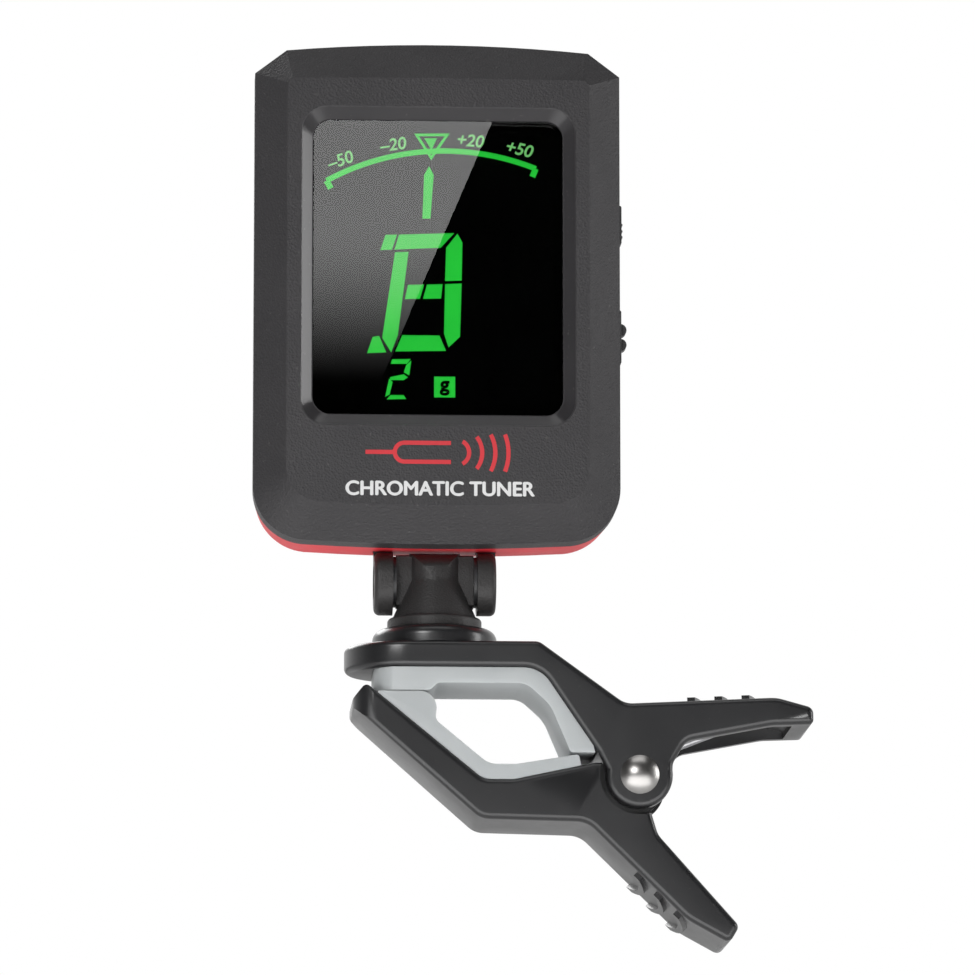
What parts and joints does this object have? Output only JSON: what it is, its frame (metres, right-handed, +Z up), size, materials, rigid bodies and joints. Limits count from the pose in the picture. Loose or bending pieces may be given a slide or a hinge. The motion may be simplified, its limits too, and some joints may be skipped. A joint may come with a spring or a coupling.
{
  "type": "clip-on tuner",
  "caption": "Clip-on instrument tuner: a display head with side buttons on a tilting, swivelling neck above a sprung clip with soft jaw liners.",
  "frame": {"origin": "middle of the closed clip's opening between the two soft liners, on the clip's middle plane", "axes": "+Z up through the neck and head, -Y the way the display faces, +X towards the finger handles"},
  "size_m": [0.0554, 0.0155, 0.09],
  "materials": {
    "charcoal_shell": "fine grained",
    "red_shell": "satin",
    "clear_window": "clear",
    "display_glass": "dark, lit segments",
    "white_frame": "moulded white",
    "clear_guide": "clear with printed dots",
    "lamp_resin": "clear resin",
    "zebra_rubber": "striped",
    "board_green": "solder mask",
    "chip_black": "moulded epoxy",
    "crystal_can": "satin can",
    "piezo_brass": "brass disc, pale ceramic",
    "lead_sleeve": "insulated wire",
    "switch_body": "moulded",
    "button_black": "satin",
    "cell_steel": "plated steel",
    "contact_brass": "plated spring strip",
    "hinge_black": "semi-gloss",
    "clip_black": "semi-gloss",
    "zinc_screw": "zinc plated",
    "washer_nylon": "black nylon",
    "steel_washer": "stamped",
    "pad_white": "soft, satin",
    "rivet_nickel": "polished",
    "spring_steel": "oiled wire"
  },
  "bodies": {
    "clip_top": {"upper_arm": "clip_black", "upper_pad": "pad_white", "swivel_collar": "clip_black", "swivel_washer": "steel_washer", "pivot_pin": "rivet_nickel", "torsion_spring": "spring_steel"},
    "clip_bottom": {"lower_arm": "clip_black", "lower_pad": "pad_white"},
    "neck": {"neck_knuckle": "hinge_black", "swivel_screw": "zinc_screw"},
    "head": {"front_shell": "charcoal_shell", "rear_shell": "red_shell", "shell_screws": "zinc_screw", "window_lens": "clear_window", "lcd_panel": "display_glass", "lcd_frame": "white_frame", "light_guide": "clear_guide", "backlight_leds": "lamp_resin", "zebra_strip": "zebra_rubber", "circuit_board": "board_green", "main_chip": "chip_black", "crystal": "crystal_can", "piezo_sensor": "piezo_brass", "piezo_leads": "lead_sleeve", "power_switch": "switch_body", "mode_switch": "switch_body", "battery": "cell_steel", "battery_contact_neg": "contact_brass", "battery_contact_pos": "contact_brass", "hinge_yoke": "hinge_black", "yoke_screws": "zinc_screw", "tilt_screw": "zinc_screw", "tilt_nut": "zinc_screw", "friction_washers": "washer_nylon"},
    "power_key": {"power_button": "button_black"},
    "mode_key": {"mode_button": "button_black"},
    "cell_door": {"battery_door": "red_shell"}
  },
  "joints": [
    {"name": "jaw_open", "type": "hinge", "parent": "clip_top", "child": "clip_bottom", "pos_m": [0.0134, 0, -0.0046], "axis": [0, -1, 0], "range_deg": [0, 48], "stiffness_Nm_per_rad": 0.15, "springref_deg": -68.75, "deforming": ["torsion_spring"]},
    {"name": "neck_swivel", "type": "hinge", "parent": "clip_top", "child": "neck", "pos_m": [-0.0066, 0, 0.0105], "axis": [0, 0, 1], "continuous": true},
    {"name": "head_tilt", "type": "hinge", "parent": "neck", "child": "head", "pos_m": [-0.0066, 0, 0.01535], "axis": [1, 0, 0], "range_deg": [-80, 50]},
    {"name": "power_button_press", "type": "slide", "parent": "head", "child": "power_key", "axis": [-1, 0, 0], "range_m": [0, 0.0003], "stiffness_N_per_m": 1500, "springref_m": -0.0003},
    {"name": "mode_button_press", "type": "slide", "parent": "head", "child": "mode_key", "axis": [-1, 0, 0], "range_m": [0, 0.0003], "stiffness_N_per_m": 1500, "springref_m": -0.0003},
    {"name": "battery_door_slide", "type": "slide", "parent": "head", "child": "cell_door", "axis": [0, 0, 1], "range_m": [0, 0.024]}
  ]
}
